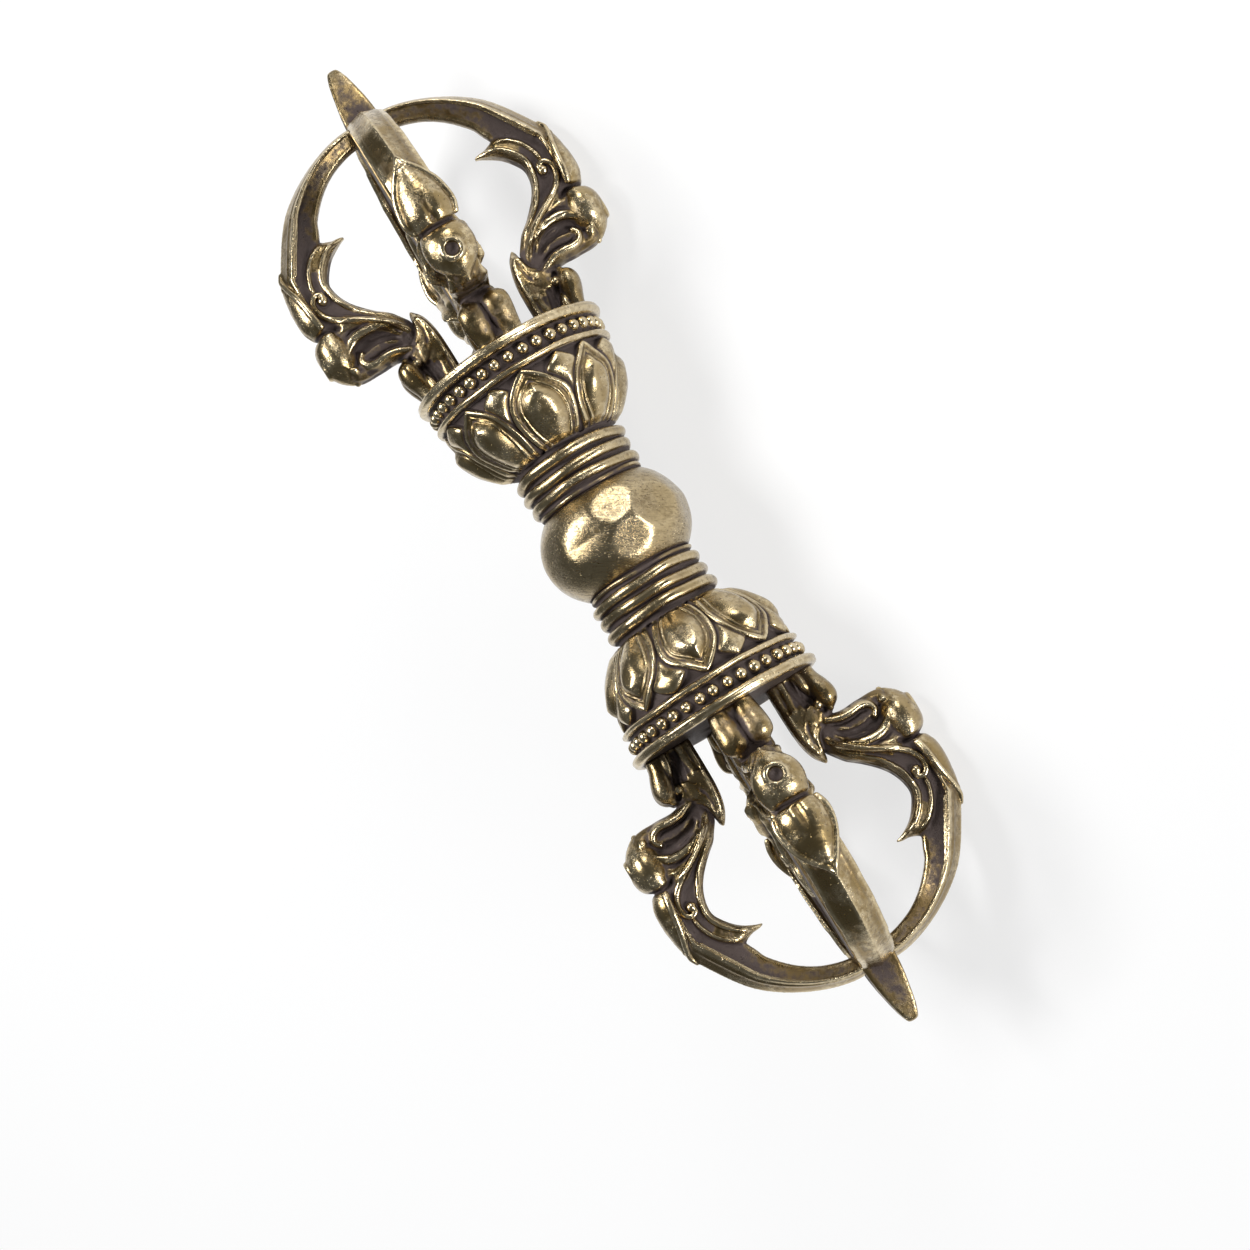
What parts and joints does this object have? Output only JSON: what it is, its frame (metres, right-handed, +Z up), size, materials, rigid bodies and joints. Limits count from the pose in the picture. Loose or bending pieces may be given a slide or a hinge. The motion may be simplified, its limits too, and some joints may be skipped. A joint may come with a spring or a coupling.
{
  "type": "vajra",
  "caption": "Double-ended thunderbolt sceptre in aged cast brass: ball grip, lotus cups, beaded plates and caged makara-headed prongs that close on four-sided points.",
  "frame": {"origin": "the middle of the grip ball, on the axis", "axes": "+X along the sceptre towards its upper point, +Z up with the sceptre lying on two prongs of each cage"},
  "size_m": [0.092, 0.0208, 0.0208],
  "materials": {
    "worn_brass": "hand-worn satin with scratches and pits",
    "carved_brass": "antiqued, dark in the recesses and worn on the raised lines",
    "prong_brass": "antiqued, dark on the hidden sides and worn on the brows and blades",
    "point_brass": "fine-pitted, darkened",
    "plain_brass": "plain drawn rod"
  },
  "bodies": {
    "root": {"hub_ball": "worn_brass", "core_rod": "plain_brass", "upper_neck_collar": "carved_brass", "upper_lotus_cup": "carved_brass", "upper_prong_plate": "carved_brass", "upper_spike": "point_brass", "lower_neck_collar": "carved_brass", "lower_lotus_cup": "carved_brass", "lower_prong_plate": "carved_brass", "lower_spike": "point_brass", "upper_prong_1": "prong_brass", "upper_prong_2": "prong_brass", "upper_prong_3": "prong_brass", "upper_prong_4": "prong_brass", "lower_prong_1": "prong_brass", "lower_prong_2": "prong_brass", "lower_prong_3": "prong_brass", "lower_prong_4": "prong_brass"}
  },
  "joints": []
}
